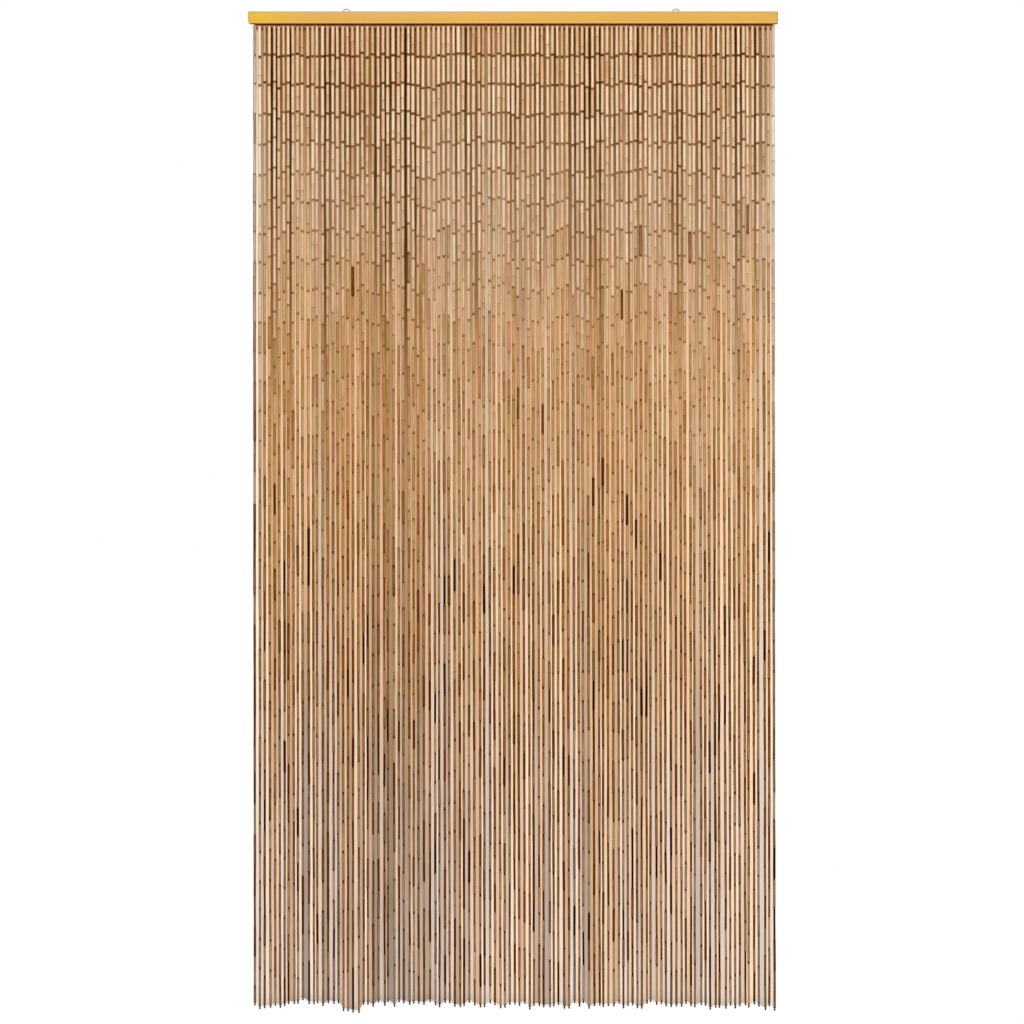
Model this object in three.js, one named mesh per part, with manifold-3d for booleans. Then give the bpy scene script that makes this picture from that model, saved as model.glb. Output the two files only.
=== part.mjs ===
// Bamboo door curtain: a painted wooden lath, a heading strip under it with a row of
// bamboo strands, and two steel rings in folded straps on the back of the lath.
//
// Millimetres. +X is to the right seen from the front, the front faces -Y, +Z is up.
// The origin is midway between the two rings, at the height where their nails bear.
import * as THREE from 'three';
import { mergeVertices } from 'three/addons/utils/BufferGeometryUtils.js';
import Module from 'manifold-3d';

const wasm = await Module();
wasm.setup();

// Driving dimensions

const SEAT_GAP = 0.3;

const RAIL = { length: 1200, height: 28, depth: 15, edgeRound: 2 };
const RAIL_CORNERS = { lowerRight: 2.5, upperRight: 2.5, upperLeft: 2.5, lowerLeft: 6 };

const RING = { outer: 19, wire: 2.8, above: 8.5, wireSides: 8, turns: 28 };
const RING_SIDES = [
  { name: 'left', across: -378 },
  { name: 'right', across: 369 },
];

const STRAP = { width: 7, sheet: 1, leaf: 17, lip: 5, foldSteps: 5 };

const STRIP = { height: 7.2, depth: 5 };

const STRAND = { count: 106, headWidth: 7.6, footWidth: 5.0 };

// Where every tenth strand hangs, at its head and at its foot.
const SPACING = [
  { strand: 0, head: -584, foot: -583 },
  { strand: 10, head: -478, foot: -475 },
  { strand: 20, head: -364, foot: -361 },
  { strand: 30, head: -249, foot: -247 },
  { strand: 40, head: -135, foot: -131 },
  { strand: 50, head: -22, foot: -18 },
  { strand: 60, head: 88, foot: 92 },
  { strand: 70, head: 202, foot: 206 },
  { strand: 80, head: 310, foot: 314 },
  { strand: 90, head: 421, foot: 425 },
  { strand: 100, head: 532, foot: 537 },
  { strand: 105, head: 588, foot: 591 },
];

// No two strands hang alike: how far each may stand off those places.
const SWAY = { root: 1.2, lean: 1.8, bow: 0.8, forward: 1.2 };

// Where each strand has a section, as a share of its drop.
const STATIONS = [0, 0.05, 0.18, 0.34, 0.5, 0.66, 0.83, 1];

// The lower edge: how far below the lath the strands end, from left to right.
const HEM = [
  { across: -590, drop: 2228 },
  { across: -550, drop: 2230 },
  { across: -520, drop: 2222 },
  { across: -480, drop: 2219 },
  { across: -400, drop: 2222 },
  { across: -380, drop: 2234 },
  { across: -352, drop: 2236 },
  { across: -330, drop: 2221 },
  { across: -160, drop: 2222 },
  { across: -60, drop: 2225 },
  { across: -10, drop: 2223 },
  { across: 40, drop: 2228 },
  { across: 140, drop: 2224 },
  { across: 260, drop: 2228 },
  { across: 315, drop: 2222 },
  { across: 430, drop: 2228 },
  { across: 500, drop: 2226 },
  { across: 595, drop: 2231 },
];
const HEM_UNEVENNESS = 7;

// Heights and depths that follow from them

const ringRadius = (RING.outer - RING.wire) / 2;
const ringCentreZ = RING.wire / 2 - ringRadius;
const railTop = ringCentreZ + RING.outer / 2 - RING.above;
const railBottom = railTop - RAIL.height;
const railBack = -(RING.wire / 2 + STRAP.sheet + 2 * SEAT_GAP);
const railMiddleY = railBack - RAIL.depth / 2;
const stripTop = railBottom - SEAT_GAP;
const strandTop = stripTop - STRIP.height / 2;

// Finishes

const ochrePaint = new THREE.MeshStandardMaterial({ color: '#eab758', roughness: 0.45, metalness: 0 });
const bamboo = new THREE.MeshStandardMaterial({ color: '#c69a6b', roughness: 0.55, metalness: 0 });
const zincSteel = new THREE.MeshStandardMaterial({ color: '#c3c4c0', roughness: 0.35, metalness: 1 });

// A repeatable number from -1 to 1 for each strand and each purpose.
function scatter(strand, purpose) {
  const wave = Math.sin(strand * 12.9898 + purpose * 78.233) * 43758.5453;
  return 2 * (wave - Math.floor(wave)) - 1;
}

// Rail: a lath with softly rounded edges, its flat front towards the room. Its lower left
// corner is worn rounder than the others.
function railGeometry() {
  const { length, height, depth, edgeRound } = RAIL;
  const { lowerRight, upperRight, upperLeft, lowerLeft } = RAIL_CORNERS;
  const [right, top] = [length / 2, height / 2];
  const quarter = Math.PI / 2;
  const front = new THREE.Shape();
  front.moveTo(-right + lowerLeft, -top);
  front.lineTo(right - lowerRight, -top);
  front.absarc(right - lowerRight, -top + lowerRight, lowerRight, -quarter, 0);
  front.lineTo(right, top - upperRight);
  front.absarc(right - upperRight, top - upperRight, upperRight, 0, quarter);
  front.lineTo(-right + upperLeft, top);
  front.absarc(-right + upperLeft, top - upperLeft, upperLeft, quarter, 2 * quarter);
  front.lineTo(-right, -top + lowerLeft);
  front.absarc(-right + lowerLeft, -top + lowerLeft, lowerLeft, 2 * quarter, 3 * quarter);
  const geometry = new THREE.ExtrudeGeometry(front, {
    depth: depth - 2 * edgeRound,
    bevelThickness: edgeRound,
    bevelSize: edgeRound,
    bevelOffset: -edgeRound,
    bevelSegments: 2,
    curveSegments: 4,
  });
  geometry.translate(0, 0, -depth / 2 + edgeRound);
  geometry.rotateX(Math.PI / 2);
  return geometry;
}

// One column of a table, read straight between the two rows on either side of a place.
function tableValue(table, key, place, column) {
  const next = Math.max(1, table.findIndex((row) => row[key] >= place));
  const [a, b] = [table[next - 1], table[next]];
  return THREE.MathUtils.mapLinear(place, a[key], b[key], a[column], b[column]);
}

// Middle of a strand at a share of its drop.
function strandPoint(strand, share) {
  const headAcross = tableValue(SPACING, 'strand', strand, 'head');
  const footAcross = tableValue(SPACING, 'strand', strand, 'foot');
  const across = THREE.MathUtils.lerp(headAcross, footAcross, share);
  const drop = tableValue(HEM, 'across', headAcross, 'drop') + HEM_UNEVENNESS * scatter(strand, 1);
  const foot = railBottom - drop;
  const aside = SWAY.root * scatter(strand, 2)
    + SWAY.lean * scatter(strand, 3) * share
    + SWAY.bow * scatter(strand, 4) * Math.sin(Math.PI * share);
  const forward = SWAY.forward * scatter(strand, 5) * share;
  return new THREE.Vector3(
    across + aside,
    railMiddleY + forward,
    THREE.MathUtils.lerp(strandTop, foot, share),
  );
}

// One strand: a four-sided stick, thinner towards the foot.
function strandGeometry(strand) {
  const corners = [[-1, -1], [1, -1], [1, 1], [-1, 1]];
  const positions = [];
  for (const share of STATIONS) {
    const middle = strandPoint(strand, share);
    const half = THREE.MathUtils.lerp(STRAND.headWidth, STRAND.footWidth, share) / 2;
    for (const [dx, dy] of corners) {
      positions.push(middle.x + dx * half, middle.y + dy * half, middle.z);
    }
  }
  const faces = [0, 1, 2, 0, 2, 3];
  for (let ring = 0; ring < STATIONS.length - 1; ring += 1) {
    const upper = ring * corners.length;
    const lower = upper + corners.length;
    for (let side = 0; side < corners.length; side += 1) {
      const following = (side + 1) % corners.length;
      faces.push(upper + side, lower + side, lower + following);
      faces.push(upper + side, lower + following, upper + following);
    }
  }
  const foot = (STATIONS.length - 1) * corners.length;
  faces.push(foot, foot + 2, foot + 1, foot, foot + 3, foot + 2);
  const geometry = new THREE.BufferGeometry();
  geometry.setAttribute('position', new THREE.Float32BufferAttribute(positions, 3));
  geometry.setIndex(faces);
  return geometry;
}

// Heading strip: a narrow batten right under the lath, from the first strand to the last.
function stripGeometry() {
  const [first, last] = [SPACING[0].head, SPACING[SPACING.length - 1].head];
  const length = last - first + STRAND.headWidth;
  const geometry = new THREE.BoxGeometry(length, STRIP.depth, STRIP.height);
  geometry.translate((first + last) / 2, railMiddleY, stripTop - STRIP.height / 2);
  return geometry;
}

function solidFrom(geometry) {
  const bare = geometry.clone();
  bare.deleteAttribute('normal');
  bare.deleteAttribute('uv');
  const merged = mergeVertices(bare);
  return new wasm.Manifold(new wasm.Mesh({
    numProp: 3,
    vertProperties: Float32Array.from(merged.attributes.position.array),
    triVerts: Uint32Array.from(merged.index.array),
  }));
}

function geometryFrom(solid) {
  const mesh = solid.getMesh();
  const geometry = new THREE.BufferGeometry();
  geometry.setAttribute('position', new THREE.BufferAttribute(mesh.vertProperties, 3));
  geometry.setIndex(new THREE.BufferAttribute(mesh.triVerts, 1));
  geometry.computeVertexNormals();
  return geometry;
}

// Strand row: all the strands, with their roots fused into the heading strip.
function strandRowGeometry() {
  let solid = solidFrom(stripGeometry());
  for (let strand = 0; strand < STRAND.count; strand += 1) {
    solid = solid.add(solidFrom(strandGeometry(strand)));
  }
  return geometryFrom(solid);
}

// Hanging ring: round wire, upright behind the lath, its top showing above it.
function ringGeometry() {
  const geometry = new THREE.TorusGeometry(ringRadius, RING.wire / 2, RING.wireSides, RING.turns);
  geometry.rotateX(Math.PI / 2);
  return geometry;
}

// Strap: a steel strip folded over the lower side of the ring. Its long leaf lies on the
// back of the lath. The side view is drawn here and pushed across by the strap's width.
function strapGeometry() {
  const inner = RING.wire / 2 + SEAT_GAP;
  const outer = inner + STRAP.sheet;
  const halfWidth = STRAP.width / 2;
  const wireRise = ringRadius - Math.sqrt(ringRadius ** 2 - halfWidth ** 2);
  const wireTop = -ringRadius + wireRise + RING.wire / 2 + SEAT_GAP / 2;
  const foldCentre = wireTop + SEAT_GAP - inner;
  const side = new THREE.Shape();
  side.moveTo(-outer, foldCentre - STRAP.leaf);
  side.lineTo(-inner, foldCentre - STRAP.leaf);
  side.lineTo(-inner, foldCentre);
  side.absarc(0, foldCentre, inner, Math.PI, 0, true);
  side.lineTo(inner, foldCentre - STRAP.lip);
  side.lineTo(outer, foldCentre - STRAP.lip);
  side.lineTo(outer, foldCentre);
  side.absarc(0, foldCentre, outer, 0, Math.PI, false);
  const geometry = new THREE.ExtrudeGeometry(side, {
    depth: STRAP.width,
    bevelEnabled: false,
    curveSegments: STRAP.foldSteps,
  });
  geometry.translate(0, 0, -halfWidth);
  geometry.rotateZ(Math.PI / 2);
  geometry.rotateY(Math.PI / 2);
  return geometry;
}

function piece(name, geometry, material) {
  const mesh = new THREE.Mesh(geometry, material);
  mesh.name = name;
  return mesh;
}

const curtain = new THREE.Group();

const rail = piece('rail', railGeometry(), ochrePaint);
rail.position.set(0, railMiddleY, (railTop + railBottom) / 2);
curtain.add(rail);

curtain.add(piece('strand_row', strandRowGeometry(), bamboo));

for (const { name, across } of RING_SIDES) {
  const hanger = new THREE.Group();
  hanger.position.set(across, 0, ringCentreZ);
  hanger.add(piece(`ring_${name}`, ringGeometry(), zincSteel));
  hanger.add(piece(`strap_${name}`, strapGeometry(), zincSteel));
  curtain.add(hanger);
}

export default curtain;
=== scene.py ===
import math
import random

import bpy
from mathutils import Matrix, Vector


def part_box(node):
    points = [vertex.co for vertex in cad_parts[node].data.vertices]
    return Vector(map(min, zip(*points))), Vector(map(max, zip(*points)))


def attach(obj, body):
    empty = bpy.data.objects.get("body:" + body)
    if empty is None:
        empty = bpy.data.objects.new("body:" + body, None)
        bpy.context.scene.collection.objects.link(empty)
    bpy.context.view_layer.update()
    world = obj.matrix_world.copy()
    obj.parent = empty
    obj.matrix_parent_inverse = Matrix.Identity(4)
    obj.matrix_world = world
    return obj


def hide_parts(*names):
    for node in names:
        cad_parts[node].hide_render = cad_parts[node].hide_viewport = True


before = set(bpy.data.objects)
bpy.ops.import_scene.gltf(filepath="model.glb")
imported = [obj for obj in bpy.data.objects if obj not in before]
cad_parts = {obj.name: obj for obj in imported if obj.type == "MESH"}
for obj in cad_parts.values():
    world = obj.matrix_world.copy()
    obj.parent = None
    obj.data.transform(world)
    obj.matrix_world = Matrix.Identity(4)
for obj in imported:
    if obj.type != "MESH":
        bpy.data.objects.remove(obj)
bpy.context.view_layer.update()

# Rail
# A planed softwood lath, 28 by 15 mm, with softly rounded edges and a satin ochre paint that
# was brushed on. Its lower left corner is worn rounder than the others.
MM = 0.001
RAIL_EDGE = 2 * MM
RAIL_EDGE_STEPS = 5
RAIL_CORNER = 2.5 * MM
RAIL_WORN_CORNER = 6 * MM
# How far in from each end the rail's sections lie, in mm.
RAIL_STATIONS = (0, 0.15, 0.5, 1.0, 1.5, 2.0, 2.5, 3.2, 4.2, 6.0)

rail_low, rail_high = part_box("rail")


def linear(srgb):
    """An sRGB hex colour as the linear RGBA that a shader takes."""
    parts = [int(srgb[i : i + 2], 16) / 255 for i in (1, 3, 5)]
    return (*[c / 12.92 if c <= 0.04045 else ((c + 0.055) / 1.055) ** 2.4 for c in parts], 1.0)


def add(tree, kind, feeds=None, stops=None, **settings):
    """Adds a node: settings are its properties, feeds its inputs by name or number, stops a ramp's."""
    made = tree.nodes.new(kind)
    for name, value in settings.items():
        setattr(made, name, value)
    for name, value in (feeds or {}).items():
        if isinstance(value, bpy.types.NodeSocket):
            tree.links.new(value, made.inputs[name])
        else:
            made.inputs[name].default_value = value
    if stops:
        points = made.color_ramp.elements
        while len(points) < len(stops):
            points.new(1.0)
        for point, (position, colour) in zip(points, stops):
            point.position = position
            point.color = linear(colour)
    return made


def new_material(name):
    """An empty node material and its tree."""
    material = bpy.data.materials.new(name)
    material.use_nodes = True
    material.node_tree.nodes.clear()
    return material, material.node_tree


def drawn_back(radius, inward):
    """How far a rounded corner still draws back from its edge, this far in from the end."""
    return radius - math.sqrt(radius**2 - max(radius - inward, 0) ** 2)


def rounded_rectangle(low, high, radius, steps):
    """Corners of a rounded rectangle from its low to its high corner, as pairs."""
    outline = []
    corners = (
        (high[0] - radius, high[1] - radius),
        (low[0] + radius, high[1] - radius),
        (low[0] + radius, low[1] + radius),
        (high[0] - radius, low[1] + radius),
    )
    for quarter, (u, v) in enumerate(corners):
        for step in range(steps + 1):
            angle = math.radians(90 * (quarter + step / steps))
            outline.append((u + radius * math.cos(angle), v + radius * math.sin(angle)))
    return outline


def skin(verts, faces, rings, closed=False):
    """Adds a body: rings of like length joined in order, its ends capped, or joined if closed."""
    start, count = len(verts), len(rings[0])
    for ring in rings:
        verts.extend(ring)
    starts = [start + count * i for i in range(len(rings))]
    for lower, upper in zip(starts, starts[1:] + starts[:1] if closed else starts[1:]):
        for i in range(count):
            j = (i + 1) % count
            faces.append((lower + i, lower + j, upper + j, upper + i))
    if not closed:
        faces.append(tuple(range(start + count - 1, start - 1, -1)))
        faces.append(tuple(range(starts[-1], starts[-1] + count)))


def make_piece(name, verts, faces, material, replaced=None, smooth_angle=40):
    """A piece from its points and faces, on the root body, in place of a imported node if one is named."""
    mesh = bpy.data.meshes.new(name)
    mesh.from_pydata(verts, [], faces)
    mesh.materials.append(material)
    piece = bpy.data.objects.new(name, mesh)
    bpy.context.scene.collection.objects.link(piece)
    mesh.shade_smooth()
    mesh.set_sharp_from_angle(angle=math.radians(smooth_angle))
    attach(piece, "root")
    if replaced:
        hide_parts(replaced)
    return piece


# Alkyd satin enamel on planed pine: an even yellow ochre, yellower towards the left end, with the grain
# showing through as fine streaks. The underside is a dark matt brown, painted shade for the underside in
# shadow.
GRAIN_WIDTH = 1.4 * MM
GRAIN_LENGTH = 110 * MM
DRIFT_WIDTH = 50 * MM
DRIFT_LENGTH = 200 * MM
DRIFT_REACH = 0.12
# Bands laid over the ochre: lighter low on the front, a top edge painted greyer and duller as sheen for
# the pale light it catches from above, painted shade along the lower edge, and painted shade on the
# rounding of the right end. For each, the axis it runs along, where it starts and ends, how strong it is
# there, and its colour.
SHADE_AND_SHEEN_BANDS = [
    ("Z", rail_low.z + 2.5 * MM, rail_low.z + 6 * MM, 0.6, 0.0, "#ecb872"),
    # Painted sheen on the top edge.
    ("Z", rail_high.z - 4.5 * MM, rail_high.z - 1 * MM, 0.0, 0.7, "#b89b66"),
    # Painted shade along the lower edge.
    ("Z", rail_low.z + 0.9 * MM, rail_low.z + 2.6 * MM, 0.55, 0.0, "#5e3400"),
    # Painted shade on the right end's rounding.
    ("X", rail_high.x - 3 * MM, rail_high.x - 1.4 * MM, 0.0, 0.42, "#7d6c1e"),
]
# The enamel comes in over this height, and below it lies the underside's dark matt brown, painted shade.
PAINT_EDGE = (rail_low.z + 0.1 * MM, rail_low.z + 0.6 * MM)
# A Mix node's two colours and its result by number, because other sockets share their names.
MIX_A, MIX_B, MIXED = 6, 7, 2

ochre_enamel, tree = new_material("satin_ochre_enamel_on_pine")
place = add(tree, "ShaderNodeTexCoord")
lath = add(tree, "ShaderNodeSeparateXYZ", {0: place.outputs["Object"]})
drift_scale = add(tree, "ShaderNodeMapping", {
    "Vector": place.outputs["Object"],
    "Scale": (1 / DRIFT_LENGTH, 1 / DRIFT_WIDTH, 1 / DRIFT_WIDTH)})
drift = add(tree, "ShaderNodeTexNoise", {
    "Vector": drift_scale.outputs[0], "Scale": 1.0, "Detail": 2.0})
drift_shift = add(tree, "ShaderNodeMath", {
    0: drift.outputs["Fac"], 1: DRIFT_REACH, 2: -DRIFT_REACH / 2}, operation="MULTIPLY_ADD")
along = add(tree, "ShaderNodeMapRange", {
    "Value": lath.outputs["X"], "From Min": rail_low.x, "From Max": rail_high.x})
brushed = add(tree, "ShaderNodeMath", {
    0: along.outputs[0], 1: drift_shift.outputs[0]}, operation="ADD")
paint_colour = add(tree, "ShaderNodeValToRGB", {"Fac": brushed.outputs[0]}, stops=[
    (0.03, "#dbac26"), (0.13, "#d3a040"), (0.3, "#d19f42"), (0.4, "#d5a13d"),
    (0.75, "#d3a03f"), (0.95, "#d9a743")])
paint = paint_colour.outputs["Color"]
# Each band, painted shade and sheen among them, is mixed over the paint.
for axis, start, end, at_start, at_end, tint in SHADE_AND_SHEEN_BANDS:
    strength = add(tree, "ShaderNodeMapRange", {
        "Value": lath.outputs[axis], "From Min": start, "From Max": end,
        "To Min": at_start, "To Max": at_end})
    banded = add(tree, "ShaderNodeMix", {
        "Factor": strength.outputs[0], MIX_A: paint, MIX_B: linear(tint)}, data_type="RGBA")
    paint = banded.outputs[MIXED]
grain_scale = add(tree, "ShaderNodeMapping", {
    "Vector": place.outputs["Object"],
    "Scale": (1 / GRAIN_LENGTH, 1 / GRAIN_WIDTH, 1 / GRAIN_WIDTH)})
grain = add(tree, "ShaderNodeTexNoise", {
    "Vector": grain_scale.outputs[0], "Scale": 1.0, "Detail": 3.0})
grain_depth = add(tree, "ShaderNodeMapRange", {
    "Value": grain.outputs["Fac"], "From Min": 0.35, "From Max": 0.65, "To Min": 0.93, "To Max": 1.03})
streaked = add(tree, "ShaderNodeMix", {
    "Factor": 1.0, MIX_A: paint, MIX_B: grain_depth.outputs[0]},
    data_type="RGBA", blend_type="MULTIPLY")
enamel_relief = add(tree, "ShaderNodeBump", {
    "Height": grain.outputs["Fac"], "Strength": 0.12, "Distance": 0.2 * MM})
enamel_gloss = add(tree, "ShaderNodeMapRange", {
    "Value": grain.outputs["Fac"], "To Min": 0.38, "To Max": 0.5})
enamel = add(tree, "ShaderNodeBsdfPrincipled", {
    "Base Color": streaked.outputs[MIXED], "Roughness": enamel_gloss.outputs[0],
    "Normal": enamel_relief.outputs[0], "IOR": 1.48, "Specular IOR Level": 0.2})
# Painted shade on the underside: a dark matt brown with the grain in it.
underside_shade_colour = add(tree, "ShaderNodeValToRGB", {"Fac": grain.outputs["Fac"]}, stops=[
    (0.3, "#9a4e08"), (0.7, "#b66410")])
shaded_underside = add(tree, "ShaderNodeBsdfPrincipled", {
    "Base Color": underside_shade_colour.outputs["Color"], "Roughness": 1.0, "Specular IOR Level": 0.0})
paint_edge = add(tree, "ShaderNodeMapRange", {
    "Value": lath.outputs["Z"], "From Min": PAINT_EDGE[0], "From Max": PAINT_EDGE[1]})
painted = add(tree, "ShaderNodeMixShader", {
    0: paint_edge.outputs[0], 1: shaded_underside.outputs[0], 2: enamel.outputs[0]})
add(tree, "ShaderNodeOutputMaterial", {"Surface": painted.outputs[0]})

verts, faces, rings = [], [], []
for end, inwards, lower_corner in (
    (rail_low.x, 1, RAIL_WORN_CORNER),
    (rail_high.x, -1, RAIL_CORNER),
):
    for station in RAIL_STATIONS[::inwards]:
        inward = station * MM
        side = drawn_back(RAIL_EDGE, inward)
        low = (rail_low.y + side, rail_low.z + drawn_back(lower_corner, inward))
        high = (rail_high.y - side, rail_high.z - drawn_back(RAIL_CORNER, inward))
        outline = rounded_rectangle(low, high, RAIL_EDGE, RAIL_EDGE_STEPS)
        rings.append([(end + inwards * inward, y, z) for y, z in outline])
skin(verts, faces, rings)
make_piece("painted_rail", verts, faces, ochre_enamel, "rail")

# Strands
# Short tubes sawn from thin bamboo culms and threaded on a cord, about 34 to a strand. They are cut by
# eye, so their joints line up at the top and drift apart further down. The thick pale tubes hang at the
# top, and the thin dark ones at the foot, darkened there partly by painted shade for light that falls off
# down the curtain.
STRAND_COUNT = 106
STRANDS_PER_PIECE = 22
# Where every tenth strand hangs: its number, and how far across its head and its foot are, in mm.
SPACING = [
    (0, -584, -583), (10, -478, -475), (20, -364, -361), (30, -249, -247),
    (40, -135, -131), (50, -22, -18), (60, 88, 92), (70, 202, 206),
    (80, 310, 314), (90, 421, 425), (100, 532, 537), (105, 588, 591),
]
# The lower edge: how far across, and how far below the rail, in mm.
HEM = [
    (-590, 2228), (-550, 2230), (-520, 2222), (-480, 2219), (-400, 2222), (-380, 2234),
    (-352, 2236), (-330, 2221), (-160, 2222), (-60, 2225), (-10, 2223), (40, 2228),
    (140, 2224), (260, 2228), (315, 2222), (430, 2228), (500, 2226), (595, 2231),
]
# How a strand strays from those, as in the solids: the number of each kind of stray, its reach.
STRAYS = {
    "length": (1, 7 * MM),
    "root": (2, 1.2 * MM),
    "lean": (3, 1.8 * MM),
    "bow": (4, 0.8 * MM),
    "forward": (5, 1.2 * MM),
}
# Uneven factors, the same as in the solids, that make the strays look like chance.
STRAND_FACTOR = 12.9898
KIND_FACTOR = 78.233
SCATTER = 43758.5453
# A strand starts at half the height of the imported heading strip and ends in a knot.
HEADING_GAP = 0.3 * MM
HEADING_HEIGHT = 7.2 * MM
KNOT_HEIGHT = 6 * MM

row_low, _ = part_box("strand_row")
row_middle_y = (rail_low.y + rail_high.y) / 2
strand_top = rail_low.z - HEADING_GAP - HEADING_HEIGHT / 2


def stray(strand, kind):
    """How far a strand strays in one way: uneven from strand to strand, the same in every run."""
    number, reach = STRAYS[kind]
    wave = math.sin(strand * STRAND_FACTOR + number * KIND_FACTOR) * SCATTER
    return reach * (2 * (wave - math.floor(wave)) - 1)


def between(rows, at, column=1):
    """One column of a table, read straight between the two rows whose first values lie round at."""
    for low, high in zip(rows, rows[1:]):
        if at <= high[0]:
            part = (max(at, low[0]) - low[0]) / (high[0] - low[0])
            return low[column] + (high[column] - low[column]) * part
    return rows[-1][column]


def clamped(value):
    """A value kept from 0 to 1."""
    return min(max(value, 0.0), 1.0)


def strand_foot(strand):
    """The height at which a strand ends."""
    drop = between(HEM, between(SPACING, strand)) * MM
    return rail_low.z - drop - stray(strand, "length")


def strand_middle(strand, share):
    """The middle (x, y) of a strand at a share of its drop."""
    head, foot = between(SPACING, strand, 1) * MM, between(SPACING, strand, 2) * MM
    aside = (stray(strand, "root") + stray(strand, "lean") * share
             + stray(strand, "bow") * math.sin(math.pi * share))
    return head + (foot - head) * share + aside, row_middle_y + stray(strand, "forward") * share


def disc(x, y, z, radius, sides):
    """A level ring of points round a strand."""
    turns = [math.tau * i / sides for i in range(sides)]
    return [(x + radius * math.cos(turn), y + radius * math.sin(turn), z) for turn in turns]


# Bamboo skin, tumbled smooth: straw and peach to brown, red-brown and olive, silky along the
# fibres, with brown flecks and ends scorched by the saw. The real fibres are 0.3 mm wide, too
# fine to show from across a room, so the streaks are drawn coarser.
STREAK_WIDTH = 1.1 * MM
STREAK_LENGTH = 45 * MM
STREAK_REACH = 0.34
BLOTCH_WIDTH = 9 * MM
BLOTCH_LENGTH = 30 * MM
BLOTCH_REACH = 0.2
# Flecks: how large a cell each has, the draw from which a cell holds one, the largest one's
# share of its cell, the width of its soft edge in the same measure, and how dark it is.
FLECK_WIDTH = 2.4 * MM
FLECK_LENGTH = 9 * MM
FLECK_DRAW = 0.6
FLECK_SIZE = 0.3
FLECK_EDGE = 0.1
FLECK_DARK = 0.2
# How much painted shade darkens a tube's flanks, where its neighbours would keep light off, and how many
# pattern widths apart the tubes may lie in it.
FLANK_SHADE_DEPTH = 0.24
OWN_PLACE = 40.0

bamboo_skin, tree = new_material("tumbled_bamboo_skin")
place = add(tree, "ShaderNodeTexCoord")
# Each tube brings its own tone, warmth, richness, painted flank shade and charred ends.
tone = add(tree, "ShaderNodeAttribute", attribute_name="tone")
warmth = add(tree, "ShaderNodeAttribute", attribute_name="warmth")
char = add(tree, "ShaderNodeAttribute", attribute_name="char")
painted_flank_shade = add(tree, "ShaderNodeAttribute", attribute_name="painted_flank_shade")
richness = add(tree, "ShaderNodeAttribute", attribute_name="richness")
own_place = add(tree, "ShaderNodeVectorMath", {
    0: warmth.outputs["Vector"], "Scale": OWN_PLACE}, operation="SCALE")
streak_scale = add(tree, "ShaderNodeMapping", {
    "Vector": place.outputs["Object"], "Location": own_place.outputs[0],
    "Scale": (1 / STREAK_WIDTH, 1 / STREAK_WIDTH, 1 / STREAK_LENGTH)})
streak = add(tree, "ShaderNodeTexNoise", {
    "Vector": streak_scale.outputs[0], "Scale": 1.0, "Detail": 3.0})
streak_shift = add(tree, "ShaderNodeMath", {
    0: streak.outputs["Fac"], 1: STREAK_REACH, 2: -STREAK_REACH / 2}, operation="MULTIPLY_ADD")
blotch_scale = add(tree, "ShaderNodeMapping", {
    "Vector": place.outputs["Object"], "Location": own_place.outputs[0],
    "Scale": (1 / BLOTCH_WIDTH, 1 / BLOTCH_WIDTH, 1 / BLOTCH_LENGTH)})
blotch = add(tree, "ShaderNodeTexNoise", {
    "Vector": blotch_scale.outputs[0], "Scale": 1.0, "Detail": 2.0})
blotch_shift = add(tree, "ShaderNodeMath", {
    0: blotch.outputs["Fac"], 1: BLOTCH_REACH, 2: -BLOTCH_REACH / 2}, operation="MULTIPLY_ADD")
fleck_scale = add(tree, "ShaderNodeMapping", {
    "Vector": place.outputs["Object"], "Location": own_place.outputs[0],
    "Scale": (1 / FLECK_WIDTH, 1 / FLECK_WIDTH, 1 / FLECK_LENGTH)})
fleck = add(tree, "ShaderNodeTexVoronoi", {"Vector": fleck_scale.outputs[0], "Scale": 1.0})
fleck_draw = add(tree, "ShaderNodeSeparateColor", {0: fleck.outputs["Color"]})
fleck_reach = add(tree, "ShaderNodeMapRange", {
    "Value": fleck_draw.outputs[0], "From Min": FLECK_DRAW, "To Max": FLECK_SIZE})
fleck_inside = add(tree, "ShaderNodeMath", {
    0: fleck_reach.outputs[0], 1: fleck.outputs["Distance"]}, operation="SUBTRACT")
fleck_shade = add(tree, "ShaderNodeMapRange", {
    "Value": fleck_inside.outputs[0], "From Max": FLECK_EDGE, "To Max": FLECK_DARK})
flank_shade = add(tree, "ShaderNodeMath", {
    0: painted_flank_shade.outputs["Fac"], 1: FLANK_SHADE_DEPTH}, operation="MULTIPLY")
shade = tone.outputs["Fac"]
for change in (streak_shift, blotch_shift, fleck_shade, flank_shade):
    shaded = add(tree, "ShaderNodeMath", {0: shade, 1: change.outputs[0]}, operation="ADD")
    shade = shaded.outputs[0]
olive_skin = add(tree, "ShaderNodeValToRGB", {"Fac": shade}, stops=[
    (0.0, "#f3deba"), (0.25, "#d8b78e"), (0.45, "#b89156"),
    (0.62, "#8e6a34"), (0.78, "#5f3e16"), (1.0, "#2a1102")])
red_skin = add(tree, "ShaderNodeValToRGB", {"Fac": shade}, stops=[
    (0.0, "#f6d6b6"), (0.25, "#dcb18a"), (0.45, "#c08d5c"),
    (0.62, "#9a6030"), (0.78, "#6c300e"), (1.0, "#330a00")])
skin_colour = add(tree, "ShaderNodeMix", {
    "Factor": warmth.outputs["Fac"], MIX_A: olive_skin.outputs["Color"],
    MIX_B: red_skin.outputs["Color"]}, data_type="RGBA")
dulled = add(tree, "ShaderNodeHueSaturation", {
    "Saturation": richness.outputs["Fac"], "Color": skin_colour.outputs[MIXED]})
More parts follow.
